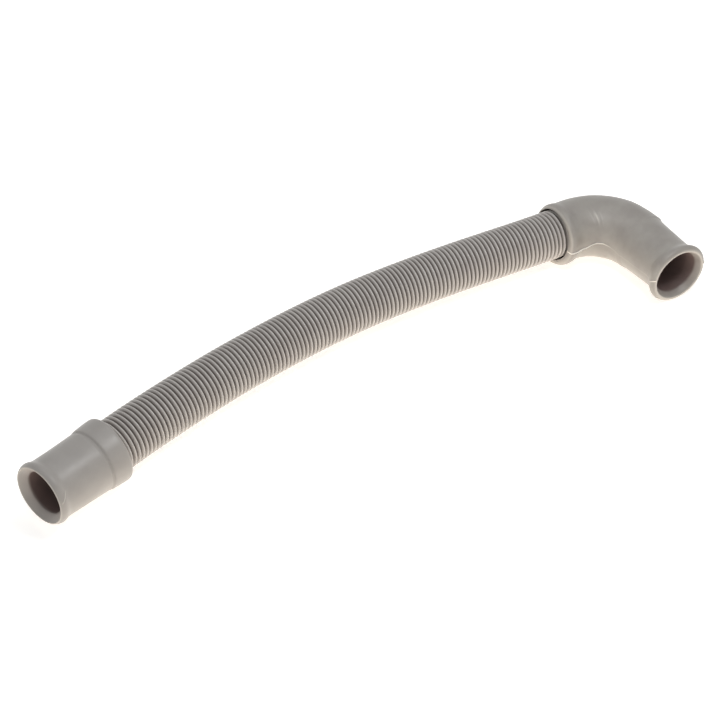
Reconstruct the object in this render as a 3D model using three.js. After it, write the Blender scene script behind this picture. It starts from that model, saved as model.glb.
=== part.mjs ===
// A short dishwasher drain hose: a corrugated tube between a straight cuff and an elbow cuff.
// Millimetres, with +Z up. The hose lies on its side as it would on a table, with the
// straight cuff along X, its mouth facing -X.

import * as THREE from 'three';

// Corrugated tube
const hoseRadius = 13.5; // over the crests of the ribs
const ribPitch = 2.53;
const ribDepth = 1.6; // crest to groove
const hoseWall = 0.9; // between the groove and the bore

// Straight cuff, with lengths measured from its mouth
const cuffLength = 43.6;
const cuffBore = 11;
const cuffRimRadius = 14.6; // middle of the flat rim round the mouth
const cuffBevelDepth = 3;
const cuffBeadRadius = 16.5;
const cuffBeadLength = 6;
const cuffNoseRadius = 15.1; // body just behind the bead
const cuffBackRadius = 15.7; // body just in front of the collar
const collarRadius = 16.7;
const collarLength = 12.2;
const collarTaper = 0.5; // how much narrower the collar is at its front edge
const collarRound = 3.5; // length of the rounded back edge
const grooveWidth = 0.7;
const grooveDepth = 0.5;

// Elbow cuff, with lengths measured along its centreline from its lip
const elbowHeading = -18.5; // degrees, direction of the socket in the floor plane
const elbowBend = 92; // degrees
const elbowBendRadius = 31.5; // of the centreline
const elbowSocketLength = 6.5; // straight length before the bend
const elbowStepLength = 0.5; // where the bend steps down to the leg
const elbowLegLength = 31.2;
const elbowBore = 11.5;
const lipRadius = 17.4;
const lipLength = 4.8;
const lipFlare = 1.1; // how much wider the socket is at the lip
const neckRadius = 16.2; // just behind the lip
const bendRadius = 17.2; // of the section, in the middle of the bend
const bendEndRadius = 16.5;
const legStartRadius = 16;
const legEndRadius = 14.8;
const mouthRimRadius = 14.9; // middle of the flat rim round the mouth
const mouthBevelDepth = 2.8;
const mouthBeadRadius = 17.2;
const mouthBeadLength = 5.4;

// Fits and edges
const rimWidth = 0.7; // flat land of each mouth
const seatDepth = 13; // length of hose held in each cuff
const clearance = 0.3;
const beadFlank = 30; // degrees of each bead's half ellipse that its flanks cut off

// Facets
const hoseSides = 16;
const cuffSides = 28;
const beadSides = 4;
const socketSides = 4;
const boreStep = 15; // longest facet along the hose bore
const bendStep = 9; // degrees of bend per facet

// Centreline of the visible hose from the collar of the straight cuff to the lip of the elbow.
const route = [
  [0, 0], [16.4, -0.1], [36.4, -0.8], [56.4, -2.0], [76.4, -3.7],
  [96.4, -6.1], [116.4, -9.1], [136.4, -12.8], [156.4, -17.4], [176.4, -23.0],
  [196.4, -29.3], [216.4, -36.2], [236.4, -43.6], [256.4, -51.1], [273.6, -57.2],
];

const socketRadius = hoseRadius + clearance;
const bendAngle = THREE.MathUtils.degToRad(elbowBend);
const bendLength = elbowBendRadius * bendAngle;
const elbowLength = elbowSocketLength + bendLength + elbowLegLength;

// An axis gives, for a distance along a piece, a point of its centreline and its heading.

function cuffAxis(distance) {
  return { point: new THREE.Vector2(distance - cuffLength, 0), heading: 0 };
}

function elbowAxis(distance) {
  const heading = THREE.MathUtils.degToRad(elbowHeading);
  const turned = THREE.MathUtils.clamp((distance - elbowSocketLength) / elbowBendRadius, 0, bendAngle);
  const before = Math.min(distance, elbowSocketLength);
  const after = Math.max(distance - elbowSocketLength - bendLength, 0);
  const point = new THREE.Vector2(
    before + elbowBendRadius * Math.sin(turned) + after * Math.cos(turned),
    -elbowBendRadius * (1 - Math.cos(turned)) - after * Math.sin(turned),
  );
  point.rotateAround(new THREE.Vector2(0, 0), heading);
  return { point: point.add(new THREE.Vector2(...route.at(-1))), heading: heading - turned };
}

// The hose follows the cuff inside the collar, the route where it is seen, and the elbow
// inside the socket.
const visible = new THREE.CatmullRomCurve3(route.map(([x, y]) => new THREE.Vector3(x, y, 0)));
visible.arcLengthDivisions = 2000;
const visibleLength = visible.getLength();
const seated = seatDepth - clearance;
const hoseLength = visibleLength + 2 * seated;

function hoseAxis(distance) {
  const along = distance - seated;
  if (along < 0) return cuffAxis(cuffLength + along);
  if (along > visibleLength) return elbowAxis(along - visibleLength);
  const point = visible.getPointAt(along / visibleLength);
  const tangent = visible.getTangentAt(along / visibleLength);
  return { point: new THREE.Vector2(point.x, point.y), heading: Math.atan2(tangent.y, tangent.x) };
}

// A closed section, given as [distance, radius] pairs, is turned round a straight axis and
// then bent to follow the axis of the piece.
function turnedAlong(axis, section, sides) {
  const closed = [...section, section[0]];
  const profile = closed.map(([distance, radius]) => new THREE.Vector2(radius, distance));
  const geometry = new THREE.LatheGeometry(profile, sides);
  const position = geometry.getAttribute('position');
  const vertex = new THREE.Vector3();
  for (let i = 0; i < position.count; i += 1) {
    vertex.fromBufferAttribute(position, i);
    const { point, heading } = axis(vertex.y);
    const x = point.x + vertex.x * Math.sin(heading);
    const y = point.y - vertex.x * Math.cos(heading);
    position.setXYZ(i, x, y, vertex.z);
  }
  geometry.computeVertexNormals();
  return geometry;
}

// Points of an ellipse, from one angle to another in degrees, round a [distance, radius] centre.
function arc(centre, reach, from, to) {
  return Array.from({ length: beadSides + 1 }, (_, i) => {
    const angle = THREE.MathUtils.degToRad(THREE.MathUtils.lerp(from, to, i / beadSides));
    return [centre[0] + reach[0] * Math.cos(angle), centre[1] + reach[1] * Math.sin(angle)];
  });
}

// A rounded bead that stands on the foot radius and swells to the crest radius.
function bead(start, length, foot, crest) {
  const half = length / 2;
  return arc([start + half, foot], [half, crest - foot], 180 - beadFlank, beadFlank);
}

function hoseSection(length) {
  const ribs = Math.round(length / ribPitch);
  const pitch = length / ribs;
  const groove = hoseRadius - ribDepth;
  const outside = [[0, groove]];
  for (let i = 0; i < ribs; i += 1) {
    outside.push([(i + 0.5) * pitch, hoseRadius], [(i + 1) * pitch, groove]);
  }
  const steps = Math.ceil(length / boreStep);
  const inside = Array.from({ length: steps + 1 }, (_, i) => [
    length * (1 - i / steps), groove - hoseWall,
  ]);
  return [...outside, ...inside];
}

function cuffSection() {
  const collarStart = cuffLength - collarLength;
  const rimOuter = cuffRimRadius + rimWidth / 2;
  const rimInner = cuffRimRadius - rimWidth / 2;
  const roundStart = cuffLength - collarRound;
  const edge = socketRadius + clearance;
  return [
    [0, rimOuter],
    ...bead(0, cuffBeadLength, rimOuter, cuffBeadRadius),
    [cuffBeadLength, cuffNoseRadius],
    [collarStart - 2 * grooveWidth, cuffBackRadius],
    [collarStart - grooveWidth, cuffBackRadius - grooveDepth],
    [collarStart, collarRadius - collarTaper],
    ...arc([roundStart, edge], [collarRound, collarRadius - edge], 90, 0),
    [cuffLength, socketRadius],
    [cuffLength - seatDepth, socketRadius],
    [cuffLength - seatDepth, cuffBore],
    [cuffBevelDepth, cuffBore],
    [0, rimInner],
  ];
}

function elbowSection() {
  const rimOuter = mouthRimRadius + rimWidth / 2;
  const rimInner = mouthRimRadius - rimWidth / 2;
  const bendEnd = elbowSocketLength + bendLength;
  const beadStart = elbowLength - mouthBeadLength;
  const flared = socketRadius + lipFlare;
  const lipEdge = flared + clearance;
  const steps = Math.round(elbowBend / bendStep);

  // The section swells a little towards the middle of the bend.
  const swell = (share) => {
    const straight = THREE.MathUtils.lerp(neckRadius, bendEndRadius, share);
    const most = bendRadius - (neckRadius + bendEndRadius) / 2;
    return straight + most * Math.sin(Math.PI * share);
  };
  const shares = Array.from({ length: steps + 1 }, (_, i) => i / steps);
  const outerBend = shares.map((share) => [elbowSocketLength + share * bendLength, swell(share)]);
  const innerBend = shares
    .map((share) => [bendEnd - share * bendLength, elbowBore])
    .filter(([distance]) => distance > seatDepth + clearance);
  const socket = Array.from({ length: socketSides }, (_, i) => [
    THREE.MathUtils.lerp(seatDepth, lipLength, i / (socketSides - 1)), socketRadius,
  ]);

  return [
    [0, lipEdge],
    ...bead(0, lipLength, lipEdge, lipRadius),
    ...outerBend,
    [bendEnd + elbowStepLength, legStartRadius],
    [beadStart, legEndRadius],
    ...bead(beadStart, mouthBeadLength, rimOuter, mouthBeadRadius),
    [elbowLength, rimOuter],
    [elbowLength, rimInner],
    [elbowLength - mouthBevelDepth, elbowBore],
    ...innerBend,
    [seatDepth, elbowBore],
    ...socket,
    [0, flared],
  ];
}

function moulded(name, geometry, colour, roughness) {
  const material = new THREE.MeshStandardMaterial({ color: colour, roughness, metalness: 0 });
  const mesh = new THREE.Mesh(geometry, material);
  mesh.name = name;
  return mesh;
}

const hose = moulded(
  'corrugated_hose',
  turnedAlong(hoseAxis, hoseSection(hoseLength), hoseSides),
  0x8f8a85,
  0.45,
);
const cuff = moulded('straight_cuff', turnedAlong(cuffAxis, cuffSection(), cuffSides), 0x9b9590, 0.6);
const elbow = moulded('elbow_cuff', turnedAlong(elbowAxis, elbowSection(), cuffSides), 0x98938d, 0.6);

const pieces = new THREE.Group();
pieces.add(hose, cuff, elbow);

// The origin is in the middle of the footprint, on the surface that the hose lies on.
const bounds = new THREE.Box3().setFromObject(pieces);
const middle = bounds.getCenter(new THREE.Vector3());
pieces.position.set(-middle.x, -middle.y, -bounds.min.z);

const drainHose = new THREE.Group();
drainHose.name = 'dishwasher_drain_hose';
drainHose.add(pieces);

export default drainHose;
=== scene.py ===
import math

import bmesh
import bpy
import numpy as np
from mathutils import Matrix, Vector


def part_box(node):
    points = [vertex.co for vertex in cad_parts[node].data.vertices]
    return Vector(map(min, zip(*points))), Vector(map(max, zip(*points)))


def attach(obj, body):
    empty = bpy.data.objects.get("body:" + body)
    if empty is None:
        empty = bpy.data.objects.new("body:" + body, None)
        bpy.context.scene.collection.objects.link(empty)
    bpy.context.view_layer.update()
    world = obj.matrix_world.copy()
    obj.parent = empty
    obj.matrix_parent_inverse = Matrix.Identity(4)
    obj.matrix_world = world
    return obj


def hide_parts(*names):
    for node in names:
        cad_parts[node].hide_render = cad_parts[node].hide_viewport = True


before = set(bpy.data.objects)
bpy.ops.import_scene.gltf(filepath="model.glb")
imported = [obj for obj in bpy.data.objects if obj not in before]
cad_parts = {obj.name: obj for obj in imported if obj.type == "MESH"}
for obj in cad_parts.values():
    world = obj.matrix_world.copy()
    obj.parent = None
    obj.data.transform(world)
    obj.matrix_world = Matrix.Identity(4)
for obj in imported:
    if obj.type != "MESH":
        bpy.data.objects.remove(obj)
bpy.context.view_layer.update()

# Camera
# It looks down across the hose from the side of the straight cuff's mouth, through a long
# lens, so that ribs nearer to it look only a little larger than those further off.
cuff_low, cuff_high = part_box("straight_cuff")
axis_height = (cuff_low.z + cuff_high.z) / 2
hose_start = Vector((cuff_high.x, (cuff_low.y + cuff_high.y) / 2, axis_height))

camera_target = hose_start + Vector((0.1384, -0.0339, -0.0170))
camera_distance = 0.7923
camera_elevation = math.radians(41.7)
camera_heading = math.radians(41.5)
camera_lens = 76.4

looking = Vector((
    math.cos(camera_heading) * math.cos(camera_elevation),
    math.sin(camera_heading) * math.cos(camera_elevation),
    -math.sin(camera_elevation),
))
camera = bpy.data.objects.new("camera", bpy.data.cameras.new("camera"))
camera.data.lens = camera_lens
camera.location = camera_target - looking * camera_distance
camera.rotation_euler = looking.to_track_quat("-Z", "Y").to_euler()
bpy.context.scene.collection.objects.link(camera)
bpy.context.scene.camera = camera

# Corrugated tube
# A thin polypropylene tube, extruded soft and drawn into a chain of ribbed moulds, so that
# rings stand on it all the way. Each end is held in the socket of a cuff.
mm = 0.001
hose_radius = 13.5 * mm  # over the crests
rib_pitch = 2.53 * mm
rib_depth = 1.8 * mm
hose_wall = 0.7 * mm
hose_seat = 12.7 * mm  # hidden in each cuff
hose_sides = 96
bore_sides = 48
rib_heights = (0.0, 0.45, 0.82, 0.98, 0.98, 0.82, 0.45)  # round one rib, from groove to groove
bore_heights = (0.0, 0.75, 0.75)  # the same inside, where the ribs are hardly seen
hose_crest_colour = "#b0aba7"
hose_pale_colour = "#b8b4b0"
# painted shade in the grooves, where the ribs shade them
hose_groove_shade_colour = "#655d58"
mottle_size = 9 * mm
noise_range = (0.3, 0.7)  # where nearly all values of a noise lie
grain_size = 0.9 * mm  # the mould's own grain is nearer to 0.1 mm, too fine to show
grain_depth = 0.05 * mm

# Centreline seen from above, in millimetres from the end of the straight cuff's collar
route = [
    (0, 0), (16.4, -0.1), (36.4, -0.8), (56.4, -2.0), (76.4, -3.7),
    (96.4, -6.1), (116.4, -9.1), (136.4, -12.8), (156.4, -17.4), (176.4, -23.0),
    (196.4, -29.3), (216.4, -36.2), (236.4, -43.6), (256.4, -51.1), (273.6, -57.2),
]
line_step = 0.25 * mm

# The elbow's own bend, which the end of the hose follows inside the socket
elbow_heading = math.radians(-18.5)
elbow_bend = math.radians(92)
elbow_bend_radius = 31.5 * mm
elbow_socket_run = 6.5 * mm  # straight length before the bend
elbow_leg = 31.2 * mm
elbow_bend_end = elbow_socket_run + elbow_bend_radius * elbow_bend
elbow_length = elbow_bend_end + elbow_leg


class Line:
    """A level centreline. It gives the place and heading at any distance along it."""

    def __init__(self, points):
        steps = np.linalg.norm(np.diff(points, axis=0), axis=1)
        self.points = points
        self.along = np.concatenate([[0], np.cumsum(steps)])
        slopes = np.gradient(points, self.along, axis=0)
        self.headings = np.unwrap(np.arctan2(slopes[:, 1], slopes[:, 0]))
        self.length = self.along[-1]

    def at(self, distance):
        heading = np.interp(distance, self.along, self.headings)
        beyond = distance - np.clip(distance, 0, self.length)
        x = np.interp(distance, self.along, self.points[:, 0]) + beyond * np.cos(heading)
        y = np.interp(distance, self.along, self.points[:, 1]) + beyond * np.sin(heading)
        return x, y, heading


def smooth(points, step):
    """Points close together on a curve that passes through each of the given ones."""
    guide = np.vstack([2 * points[0] - points[1], points, 2 * points[-1] - points[-2]])
    curve = []
    for before, start, end, after in zip(guide, guide[1:], guide[2:], guide[3:]):
        count = max(1, int(np.linalg.norm(end - start) / step))
        t = np.linspace(0, 1, count, endpoint=False)[:, None]
        curve.append(0.5 * (
            2 * start + (end - before) * t
            + (2 * before - 5 * start + 4 * end - after) * t ** 2
            + (3 * start - before - 3 * end + after) * t ** 3
        ))
    return np.vstack([*curve, points[-1:]])


def elbow_points(lip):
    """The elbow's centreline, from its lip, round the bend and down the leg."""
    distance = np.linspace(0, elbow_length, round(elbow_length / line_step))
    turned = np.clip((distance - elbow_socket_run) / elbow_bend_radius, 0, elbow_bend)
    before = np.minimum(distance, elbow_socket_run)
    after = np.maximum(distance - elbow_bend_end, 0)
    ahead = before + elbow_bend_radius * np.sin(turned) + after * np.cos(turned)
    across = -elbow_bend_radius * (1 - np.cos(turned)) - after * np.sin(turned)
    x = ahead * math.cos(elbow_heading) - across * math.sin(elbow_heading)
    y = ahead * math.sin(elbow_heading) + across * math.cos(elbow_heading)
    return lip + np.column_stack([x, y])


def ring(line, distance, radius, angles):
    """Points round the centreline. Angle 0 is up and 90 degrees is to the right of it."""
    x, y, heading = line.at(distance + 0 * angles)
    right = radius * np.sin(angles)
    return np.column_stack([
        x + right * np.sin(heading), y - right * np.cos(heading),
        axis_height + radius * np.cos(angles),
    ])


def join_rings(first, count, sides, closed):
    """Faces between each ring of points and the next, and round to the first if closed."""
    faces = []
    for row in range(count if closed else count - 1):
        this, following = first + row * sides, first + (row + 1) % count * sides
        for i in range(sides):
            j = (i + 1) % sides
            faces.append((this + i, this + j, following + j, following + i))
    return faces


def piece(name, vertices, faces, sharp_angle):
    """A smooth closed piece whose faces all point outwards."""
    mesh = bpy.data.meshes.new(name)
    mesh.from_pydata(vertices, [], faces)
    shape = bmesh.new()
    shape.from_mesh(mesh)
    bmesh.ops.recalc_face_normals(shape, faces=shape.faces)
    shape.to_mesh(mesh)
    shape.free()
    mesh.shade_smooth()
    mesh.set_sharp_from_angle(angle=math.radians(sharp_angle))
    made = bpy.data.objects.new(name, mesh)
    bpy.context.scene.collection.objects.link(made)
    return made


def mark(made, name, values):
    """Keeps one number for each point of a piece, for its material to read."""
    made.data.attributes.new(name, "FLOAT", "POINT").data.foreach_set("value", values)


start_xy = np.array(hose_start.xy)
visible = smooth(start_xy + np.array(route) * mm, line_step)
elbow_line = Line(elbow_points(visible[-1]))
held_in_cuff = start_xy - [hose_seat, 0]
held_in_elbow = elbow_line.points[(elbow_line.along < hose_seat) & (elbow_line.along > 0)]
hose_line = Line(np.vstack([held_in_cuff, visible, held_in_elbow]))

rib_count = round(hose_line.length / rib_pitch)
even_pitch = hose_line.length / rib_count


def corrugation(heights, crest, sides):
    """Rings along the whole hose for one wall of it, and how high on its rib each one lies."""
    lifts = [*heights * rib_count, heights[0]]
    angles = np.arange(sides) * 2 * math.pi / sides
    rings = [
        ring(hose_line, i / len(heights) * even_pitch, crest - rib_depth * (1 - lift), angles)
        for i, lift in enumerate(lifts)
    ]
    return np.vstack(rings), lifts


outer, outer_lifts = corrugation(rib_heights, hose_radius, hose_sides)
inner, inner_lifts = corrugation(bore_heights, hose_radius - hose_wall, bore_sides)
hose_faces = join_rings(0, len(outer_lifts), hose_sides, closed=False)
hose_faces += join_rings(len(outer), len(inner_lifts), bore_sides, closed=False)
# At the cut ends, each side of the bore meets two or more sides of the outer ring.
outer_per_bore = hose_sides // bore_sides
for outer_ring, inner_ring in (
    (0, len(outer)),
    (len(outer) - hose_sides, len(outer) + len(inner) - bore_sides),
):
    for i in range(bore_sides):
        meeting = range(i * outer_per_bore, (i + 1) * outer_per_bore + 1)
        edge = [outer_ring + k % hose_sides for k in meeting]
        hose_faces.append((*edge, inner_ring + (i + 1) % bore_sides, inner_ring + i))

hose = piece("drain_hose", np.vstack([outer, inner]).tolist(), hose_faces, sharp_angle=70)
mark(hose, "rib_height", np.concatenate([np.repeat(outer_lifts, hose_sides), 0 * inner[:, 0]]))
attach(hose, "root")
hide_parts("corrugated_hose")


# A mix node's sockets when it mixes colours
mix_share, mix_first, mix_second, mix_result = 0, 6, 7, 2


def linear(code):
    """A colour written as sRGB hex, as the linear values that a shader takes."""
    shares = [int(code[i:i + 2], 16) / 255 for i in (1, 3, 5)]
    return [s / 12.92 if s <= 0.04045 else ((s + 0.055) / 1.055) ** 2.4 for s in shares] + [1]


def node(tree, kind, inputs=None, **settings):
    """Adds a node with its settings, and with a link or a value for each input that is named."""
    made = tree.nodes.new(kind)
    for name, value in settings.items():
        setattr(made, name, value)
    for name, value in (inputs or {}).items():
        if isinstance(value, bpy.types.NodeSocket):
            tree.links.new(value, made.inputs[name])
        else:
            made.inputs[name].default_value = value
    return made


def uneven(tree, size, low, high):
    """A number that drifts from low to high, in soft spots of about the given size."""
    spots = node(tree, "ShaderNodeTexNoise", {
        "Vector": node(tree, "ShaderNodeTexCoord").outputs["Object"],
        "Scale": 1 / size,
        "Detail": 3,
    })
    return node(tree, "ShaderNodeMapRange", {
        "Value": spots.outputs["Fac"],
        "From Min": noise_range[0],
        "From Max": noise_range[1],
        "To Min": low,
        "To Max": high,
    }).outputs["Result"]


def grainy(tree, strength):
    """The surface as the grain of its mould roughens it."""
    grain = node(tree, "ShaderNodeTexNoise", {
        "Vector": node(tree, "ShaderNodeTexCoord").outputs["Object"],
        "Scale": 1 / grain_size,
        "Detail": 2,
    })
    return node(tree, "ShaderNodeBump", {
        "Height": grain.outputs["Fac"],
        "Strength": strength,
        "Distance": grain_depth,
    }).outputs["Normal"]


def finished(name, tree_of):
    """A material whose surface is the shader that tree_of builds in its tree."""
    made = bpy.data.materials.new(name)
    made.use_nodes = True
    tree = made.node_tree
    tree.nodes.clear()
    node(tree, "ShaderNodeOutputMaterial", {"Surface": tree_of(tree)})
    return made


def moulded_polypropylene(tree):
    # Polypropylene from a ribbed mould is satin, with a soft gloss along the crests. The
    # grooves are painted darker, by how low each ring lies on its rib, as painted shade.
    crest = node(tree, "ShaderNodeMix", {
        mix_share: uneven(tree, mottle_size, 0, 1),
        mix_first: linear(hose_crest_colour),
        mix_second: linear(hose_pale_colour),
    }, data_type="RGBA")
    height = node(tree, "ShaderNodeAttribute", attribute_name="rib_height")
    rib = node(tree, "ShaderNodeMix", {
        mix_share: height.outputs["Fac"],
        mix_first: linear(hose_groove_shade_colour),
        mix_second: crest.outputs[mix_result],
    }, data_type="RGBA")
    return node(tree, "ShaderNodeBsdfPrincipled", {
        "Base Color": rib.outputs[mix_result],
        "Roughness": uneven(tree, mottle_size, 0.2, 0.28),
        "IOR": 1.49,
        "Normal": grainy(tree, 0.25),
    }).outputs["BSDF"]


hose.data.materials.append(finished("moulded_polypropylene", moulded_polypropylene))

# Straight cuff
# A push-on end moulded over the hose in soft grey rubber. Its nose has a rolled bead and a
# bevelled mouth, and a shallow groove marks off the collar that grips the hose.
cuff_length = 43.6  # this and the outlines below are in millimetres
cuff_sides = 144
outline_step = 0.5  # between points on a smoothed outline
facet_length = 1.2 * mm  # longest facet along a cuff
flash_height = 0.45 * mm
flash_width = math.radians(1.9)  # from its crest to the wall beside it
flash_spread = math.radians(30)  # how far round the wall is shifted to follow the flash
bore_depths = (0.3 * mm, 2.9 * mm, 4.4 * mm)  # painted shade: the bevel a little darker, the bore much darker
bore_shades = (0, 0.3, 1)
cuff_colours = ("#95918d", "#9d9995")
# painted shade deep in the bores, where little light reaches
painted_bore_shade_colour = "#6f605d"
# painted highlight on the flash, the cut edges and the elbow's crease
painted_highlight_colour = "#f8f2e8"

# Outlines go through these points, given as distance from the mouth and radius.
cuff_outside = [
    (0, 14.9), (0.3, 15.2), (1.3, 15.75), (2.6, 16.05), (3.9, 15.8), (5.4, 15.35), (8.0, 15.2),
    (18, 15.4), (29.7, 15.75), (30.4, 15.6), (30.8, 15.35), (31.3, 15.4), (31.8, 16.0),
    (32.8, 16.3), (38.0, 16.7), (41.6, 16.8), (42.8, 16.5), (43.4, 15.7), (43.6, 14.6),
]
cuff_inside = [
    (43.6, 13.8), (30.6, 13.8), (30.6, 11.0), (3.2, 11.0), (2.9, 11.15), (0.3, 14.3), (0.0, 14.5),
]
nose_rise = 1.57 * mm  # the hose's bow holds the mouth up a little, and the cuff bends with it
nose_turn = 0.03  # radians that the mouth's plane is turned in the floor's plane
collar_slant = 1.0 * mm  # the collar was trimmed a little slanted, shortest on its near side
collar_slant_angle = math.radians(110)
collar_slant_power = 6  # high enough to keep the slant within the collar
edge_width = 0.35 * mm  # of the painted highlight along each trimmed edge, to either side
edge_highlight_paleness = 0.25
# Where the flash lies: distance from the mouth, angle from the top, and share of its height.
cuff_flash = [(0.8, 76, 0), (1.6, 74, 0.4), (3.1, 67, 0.7), (4.2, 61, 0.6), (5.0, 57, 0)]


def fine(outline):
    """The same open outline, with long straight stretches cut into short ones."""
    points = []
    for start, end in zip(outline, outline[1:]):
        count = max(1, math.ceil(np.linalg.norm(end - start) / facet_length))
        points += [start + (end - start) * k / count for k in range(count)]
    return points


def follow_flash(flash, distance, angles):
    """The angles of a ring, shifted beside a line of flash, and how far it lifts each point."""
    places, turns, heights = np.array(flash).T
    rest = math.radians(turns.mean())
    shift = np.interp(distance / mm, places, np.radians(turns)) - rest
    apart = np.remainder(angles - rest + math.pi, 2 * math.pi) - math.pi
    height = np.interp(distance / mm, places, heights) * flash_height
    return shift * np.exp(-(apart / flash_spread) ** 2), np.isclose(apart, 0) * height


def painted_edge_highlight(depth):
    """How pale a ring is painted, by its distance from the nearer end: a painted highlight along
    the cut edge.
    """
    return edge_highlight_paleness * max(0, 1 - abs(depth) / edge_width)


def moulded(name, line, outside, inside, sides, flashes, form):
    """A cuff turned round its centreline, with the flash that its mould leaves."""
    angles = [np.arange(sides) * 2 * math.pi / sides]
    for flash in flashes:
        rest = math.radians(np.array(flash)[:, 1].mean())
        angles.append(rest + np.array([-flash_width, 0, flash_width]))
    angles = np.unique(np.concatenate(angles))
    outside, inside = [p * mm for p in outside], [p * mm for p in inside]
    rings, pale_marks, bore_shade_marks = [], [], []
    for distance, radius in fine(outside + inside[:1]):
        turned, lift = angles, 0 * angles
        for flash in flashes:
            turn, height = follow_flash(flash, distance, angles)
            turned, lift = turned + turn, lift + height
        along, out, rise, pale = form(distance, radius, turned, outer_wall=True)
        rings.append(ring(line, along, out + lift, turned) + [0, 0, rise])
        # painted highlights: on the flash, and a pale line along each cut edge
        edge = painted_edge_highlight(min(distance, line.length - distance))
        pale_marks.append(np.maximum(lift / flash_height, edge + pale))
        bore_shade_marks.append(0 * angles)
    for distance, radius in fine(inside + outside[:1]):
        along, out, rise, pale = form(distance, radius, angles, outer_wall=False)
        rings.append(ring(line, along, out, angles) + [0, 0, rise])
        depth = min(distance, line.length - distance)
        pale_marks.append(0 * angles + painted_edge_highlight(depth) + pale)
        # painted shade, darker with depth into the bore
        bore_shade_marks.append(0 * angles + np.interp(depth, bore_depths, bore_shades))
    faces = join_rings(0, len(rings), len(angles), closed=True)
    made = piece(name, np.vstack(rings).tolist(), faces, sharp_angle=50)
    mark(made, "paleness", np.concatenate(pale_marks))
    mark(made, "bore", np.concatenate(bore_shade_marks))
    return made


def cuff_form(distance, radius, angles, outer_wall):
    """The cuff as its nose bends up: distance along, radius, rise and paleness at each angle."""
    before_collar = 1 - distance / (cuff_length * mm)
    slope = 2 * nose_rise / (cuff_length * mm) * before_collar
    tilt = slope * np.cos(angles) + nose_turn * before_collar * np.sin(angles)
    short = collar_slant * (distance / (cuff_length * mm)) ** collar_slant_power
    trimmed = short * (1 + np.cos(angles - collar_slant_angle)) / 2
    return distance + radius * tilt - trimmed, radius, nose_rise * before_collar ** 2, 0


cuff_line = Line(np.array([start_xy - [cuff_length * mm, 0], start_xy]))
cuff = moulded(
    "push_on_cuff",
    cuff_line,
    list(smooth(np.array(cuff_outside), outline_step)),
    list(np.array(cuff_inside)),
    cuff_sides,
    [cuff_flash],
    cuff_form,
)
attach(cuff, "root")
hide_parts("straight_cuff")


def grey_rubber(body, pale):
    """Moulded rubber in shades between two colours."""

    def shader(tree):
        # Rubber from a bead-blasted mould is satin, and a little uneven in shade and gloss
        # where talc was dusted on it. The flash, the cut edges and the elbow's crease are painted
        # pale, as painted highlights, and the bores are painted dark and brown, as painted shade.
        wall = node(tree, "ShaderNodeMix", {
            mix_share: uneven(tree, mottle_size, 0, 1),
            mix_first: linear(body),
            mix_second: linear(pale),
        }, data_type="RGBA")
        bore = node(tree, "ShaderNodeAttribute", attribute_name="bore")
        rubber = node(tree, "ShaderNodeMix", {
            mix_share: bore.outputs["Fac"],
            mix_first: wall.outputs[mix_result],
            mix_second: linear(painted_bore_shade_colour),
        }, data_type="RGBA")
        paleness = node(tree, "ShaderNodeAttribute", attribute_name="paleness")
        trimmed = node(tree, "ShaderNodeMix", {
            mix_share: paleness.outputs["Fac"],
            mix_first: rubber.outputs[mix_result],
            mix_second: linear(painted_highlight_colour),
        }, data_type="RGBA")
        return node(tree, "ShaderNodeBsdfPrincipled", {
            "Base Color": trimmed.outputs[mix_result],
            "Roughness": uneven(tree, mottle_size / 2, 0.34, 0.45),
            "IOR": 1.5,
            "Normal": grainy(tree, 0.3),
        }).outputs["BSDF"]

    return shader


cuff.data.materials.append(finished("moulded_rubber_cuff", grey_rubber(*cuff_colours)))

# Elbow cuff
# The other end, moulded in the same rubber round a bent core. A rolled lip opens like a
# funnel where the hose goes in, and the two halves of its mould left a thin line of flash.
elbow_sides = 120
# the straight cuff's rubber, painted a little darker as painted shade
elbow_shaded_colours = ("#8c8782", "#99958f")

# The outlines and the flash are given as for the straight cuff, but from the lip.
mouth = elbow_length / mm
elbow_outside = [
    (-0.5, 15.5), (0.1, 16.3), (0.9, 16.9), (2.2, 17.25), (3.8, 17.1), (6.0, 16.6), (9, 16.5),
    (18, 16.8), (32, 17.2), (44, 17.0), (51, 16.4), (57, 15.9), (62, 15.6), (68, 15.35),
    (76, 15.0), (mouth - 8.5, 15.0), (mouth - 6.5, 15.5), (mouth - 4.5, 16.6),
    (mouth - 2.7, 17.3), (mouth - 1.2, 16.9), (mouth - 0.2, 15.8), (mouth, 15.3),
]
elbow_inside = [
    (mouth, 14.7), (mouth - 0.3, 14.4), (mouth - 2.9, 12.9), (mouth - 3.2, 12.7),
    (mouth - 9, 11.6), (13.0, 11.6), (13.0, 13.8), (7.0, 13.8), (2.5, 14.5), (-0.5, 15.2),
]
inner_flash = [
    (0, 96, 1.6), (2, 94, 1.6), (5, 95, 2), (12.6, 96, 1.6), (26, 87, 1.6), (33, 86, 0.8),
    (45, 90, 0.15), (57, 96, 0.1), (74, 94, 0.1), (85, 90, 0.3), (mouth - 1, 85, 1),
    (mouth, 84, 1),
]
outer_flash = [
    (0, 272, 0.2), (57, 270, 0.3), (84, 276, 0.3), (mouth - 1, 277, 1.6), (mouth, 277, 1),
]

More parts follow.
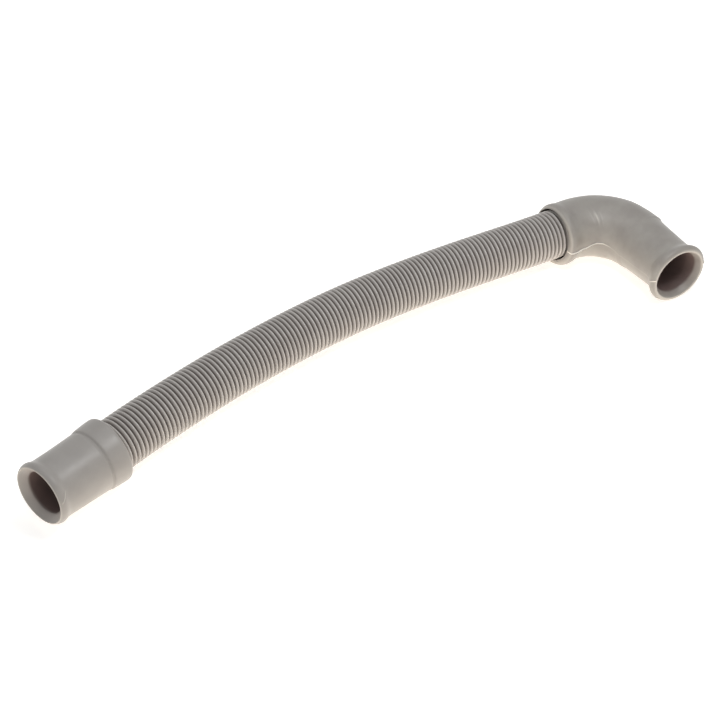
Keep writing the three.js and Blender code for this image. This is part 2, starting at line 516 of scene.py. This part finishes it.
# The lip's front slopes to the hose. It was cut a little slanted, so that it reaches further
# along the hose at the bottom, and the hose has pulled it to one side.
lip_front = 0.5 * mm  # length of the slope
lip_shift = 1.5 * mm  # how far the hose has pulled it
lip_shift_angle = math.radians(90)
lip_shift_run = 22 * mm
lip_slant = 3.4 * mm  # how much further it reaches
lip_slant_angle = math.radians(200)
lip_slant_run = 11 * mm
lip_slant_power = 1.5  # how narrowly the slant keeps to its angle
socket_rest = 1.2 * mm  # narrower where the hose lies against it
socket_lean = 1.5 * mm  # wider on the side that it leans away from
socket_lean_angle = math.radians(42)
socket_depth = 8 * mm
leg_shift = 1.1 * mm  # sideways, between the bend and the leg
leg_shift_angle = math.radians(118)
leg_shift_run = (40 * mm, 53 * mm, 78 * mm)
# The mould's core for the bend left a shoulder on each side, where it met the leg's.
shoulders = (0.9 * mm, 0.3 * mm)
shoulder_ends = (54 * mm, 57.5 * mm)
shoulder_run = 8 * mm
shoulder_power = 4  # how narrowly the shoulders keep to the sides
# Rubber that was bent sharply when it left the mould stays creased. A painted highlight runs pale
# along its ridges.
crease_height = 0.12 * mm
crease_place = 24.5 * mm  # from the lip
crease_angle = math.radians(38)
crease_width = 4 * mm
crease_fade = 0.8  # of its width, where its waves die out
crease_spread = math.radians(10)  # how far round the bend it goes, to either side
crease_slant = 10 * mm  # further from the lip for each radian round the bend
crease_highlight = 0.28


def elbow_form(distance, radius, angles, outer_wall):
    """The elbow where it isn't round: distance along, radius, rise and paleness at each angle."""
    fade = max(0, 1 - distance / lip_slant_run) ** 2
    reach = ((1 + np.cos(angles - lip_slant_angle)) / 2) ** lip_slant_power
    along = distance - lip_slant * fade * reach
    lean = ((1 + np.cos(angles - socket_lean_angle)) / 2) ** 2 * socket_lean
    opened = lean - socket_rest
    if not outer_wall:
        return along, radius + opened * np.clip(1 - distance / socket_depth, 0, 1), 0, 0
    front = np.clip(-distance / lip_front, 0, 1)
    pulled = lip_shift * max(0, 1 - distance / lip_shift_run) * np.cos(angles - lip_shift_angle)
    lip = opened * front + pulled * (1 - front)
    side = np.cos(angles - leg_shift_angle)
    shift = leg_shift * np.interp(distance, leg_shift_run, (0, 1, 0)) * side
    share = (1 + side) / 2
    end = shoulder_ends[0] + (shoulder_ends[1] - shoulder_ends[0]) * share
    height = shoulders[0] + (shoulders[1] - shoulders[0]) * share
    near_end = np.clip((distance - end) / shoulder_run + 1, 0, 1) * (distance < end)
    step = height * near_end * side ** shoulder_power
    turned = angles - crease_angle
    apart = (distance - crease_place - crease_slant * turned) / crease_width
    fading = np.exp(-(apart / crease_fade) ** 2 - (turned / crease_spread) ** 2)
    crease = np.cos(2 * math.pi * apart) * fading
    # painted highlight along the crease's ridges
    pale = crease_highlight * np.clip(crease, 0, 1)
    return along, radius + lip + shift + step + crease_height * crease, 0, pale


elbow = moulded(
    "elbow_push_on_cuff",
    elbow_line,
    list(smooth(np.array(elbow_outside), outline_step)),
    list(np.array(elbow_inside)),
    elbow_sides,
    [inner_flash, outer_flash],
    elbow_form,
)
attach(elbow, "root")
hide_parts("elbow_cuff")
elbow.data.materials.append(finished("moulded_rubber_elbow", grey_rubber(*elbow_shaded_colours)))

# Floor
# A white sheet over a light table. The camera sees it lit from below as well, so that it is
# white, and the hose still leaves a soft shadow on it.
floor_half = 3  # metres from its middle to its edges
floor_colour = "#f4f3f0"
floor_glow = 0.55
floor = piece(
    "floor",
    [(x * floor_half, y * floor_half, 0) for x, y in ((-1, -1), (1, -1), (1, 1), (-1, 1))],
    [(0, 1, 2, 3)],
    sharp_angle=30,
)
floor.visible_shadow = False  # the light table shines through it


def seen(tree):
    """1 for rays from the camera, or that a glossy or clear surface sends on, otherwise 0."""
    path = node(tree, "ShaderNodeLightPath").outputs
    either = node(tree, "ShaderNodeMath", {
        0: path["Is Camera Ray"], 1: path["Is Glossy Ray"],
    }, operation="MAXIMUM").outputs[0]
    return node(tree, "ShaderNodeMath", {
        0: either, 1: path["Is Transmission Ray"],
    }, operation="MAXIMUM").outputs[0]


def white_sheet(tree):
    glow = node(tree, "ShaderNodeMath", {0: seen(tree), 1: floor_glow}, operation="MULTIPLY")
    return node(tree, "ShaderNodeBsdfPrincipled", {
        "Base Color": linear(floor_colour), "Roughness": 0.9,
        "Emission Color": (1, 1, 1, 1), "Emission Strength": glow.outputs[0],
    }).outputs["BSDF"]


floor.data.materials.append(finished("white_sheet", white_sheet))

# Light
# A white room, a softbox overhead, a smaller lamp that draws the gloss along the crests, and
# the warm light table under the sheet, which brightens the undersides.
room_light = 0.42  # on the hose, while the room itself looks white
lamp_power = 4  # watts for each square metre of a lamp at a brightness of 1
lamp_aim = Vector((0, 0, axis_height))
world = bpy.data.worlds.new("studio")
world.use_nodes = True
bpy.context.scene.world = world
room = world.node_tree
room.nodes.clear()
strength = node(room, "ShaderNodeMapRange", {
    "Value": seen(room), "To Min": room_light, "To Max": 1,
})
background = node(room, "ShaderNodeBackground", {
    "Color": (1, 1, 1, 1), "Strength": strength.outputs["Result"],
})
node(room, "ShaderNodeOutputWorld", {"Surface": background.outputs["Background"]})


def lamp(name, place, size, brightness, colour):
    """A square lamp that faces the hose. At a brightness of 1 it would look just white."""
    light = bpy.data.lights.new(name, "AREA")
    light.size = size
    light.energy = lamp_power * brightness * size ** 2
    light.color = linear(colour)[:3]
    holder = bpy.data.objects.new(name, light)
    holder.location = place
    holder.rotation_euler = (lamp_aim - Vector(place)).to_track_quat("-Z", "Y").to_euler()
    bpy.context.scene.collection.objects.link(holder)
    return holder


lamp("softbox", (0.1, 0.1, 0.9), size=0.8, brightness=0.65, colour="#ffffff")
lamp("near_lamp", (0.03, -0.15, 0.45), size=0.11, brightness=13, colour="#ffffff")
light_table = lamp("light_table", (0, 0, -0.12), size=1.2, brightness=1.45, colour="#fff3e4")
# Rays that leave the hose at random would stop at the sheet, so the light table is only
# sampled. The sheet also hides its reflection.
light_table.data.cycles.use_multiple_importance_sampling = False
light_table.visible_glossy = False
bpy.context.scene.view_settings.view_transform = "Standard"
